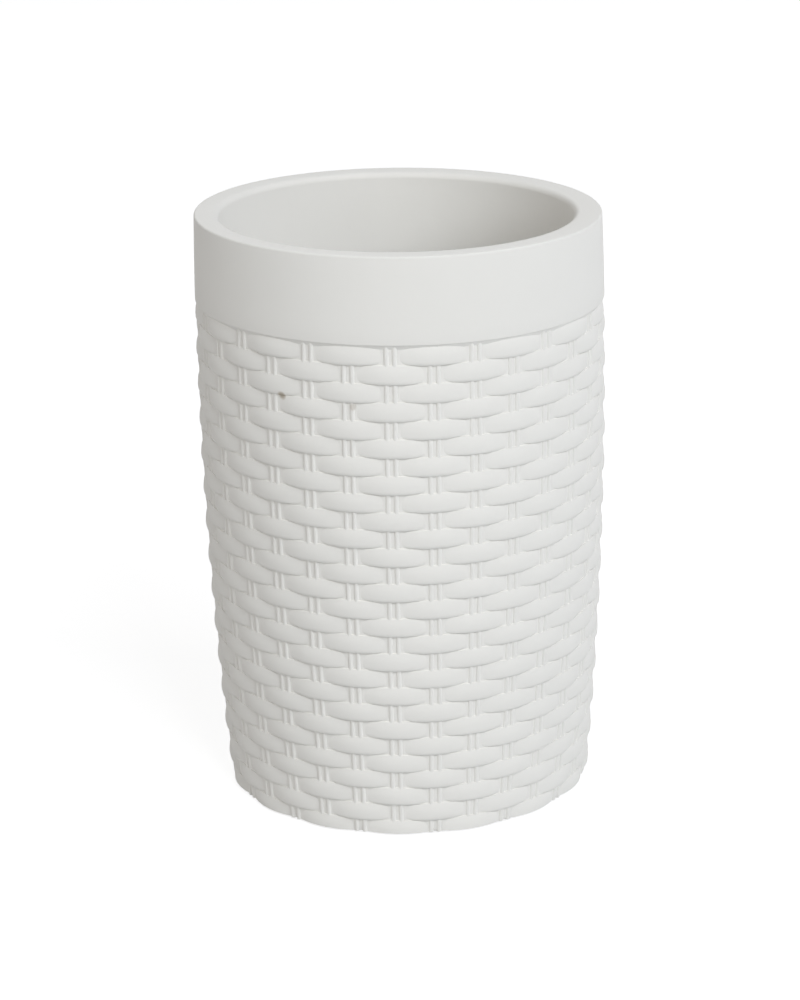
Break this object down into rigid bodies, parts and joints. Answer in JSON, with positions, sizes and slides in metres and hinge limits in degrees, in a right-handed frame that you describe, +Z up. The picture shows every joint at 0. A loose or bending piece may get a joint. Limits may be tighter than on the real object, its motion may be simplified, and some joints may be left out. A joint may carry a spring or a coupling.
{
  "type": "bathroom tumbler",
  "caption": "Round bathroom tumbler with bowed sides, a moulded basket weave below a plain rim band, an open cup and a non-slip foam pad let into the base.",
  "frame": {"origin": "middle of the underside of the base pad, on the counter", "axes": "+Z up the cup's axis to the rim; -Y is the side that the picture shows"},
  "size_m": [0.0762, 0.0762, 0.1097],
  "materials": {
    "cast_resin": "matt, off-white",
    "adhesive_film": "thin film",
    "foam_pad": "fine closed-cell foam"
  },
  "bodies": {
    "root": {"cup_body": "cast_resin", "rim_band": "cast_resin", "stakes": "cast_resin", "weavers_odd_rows": "cast_resin", "weavers_even_rows": "cast_resin", "pad_adhesive": "adhesive_film", "base_pad": "foam_pad"}
  },
  "joints": []
}
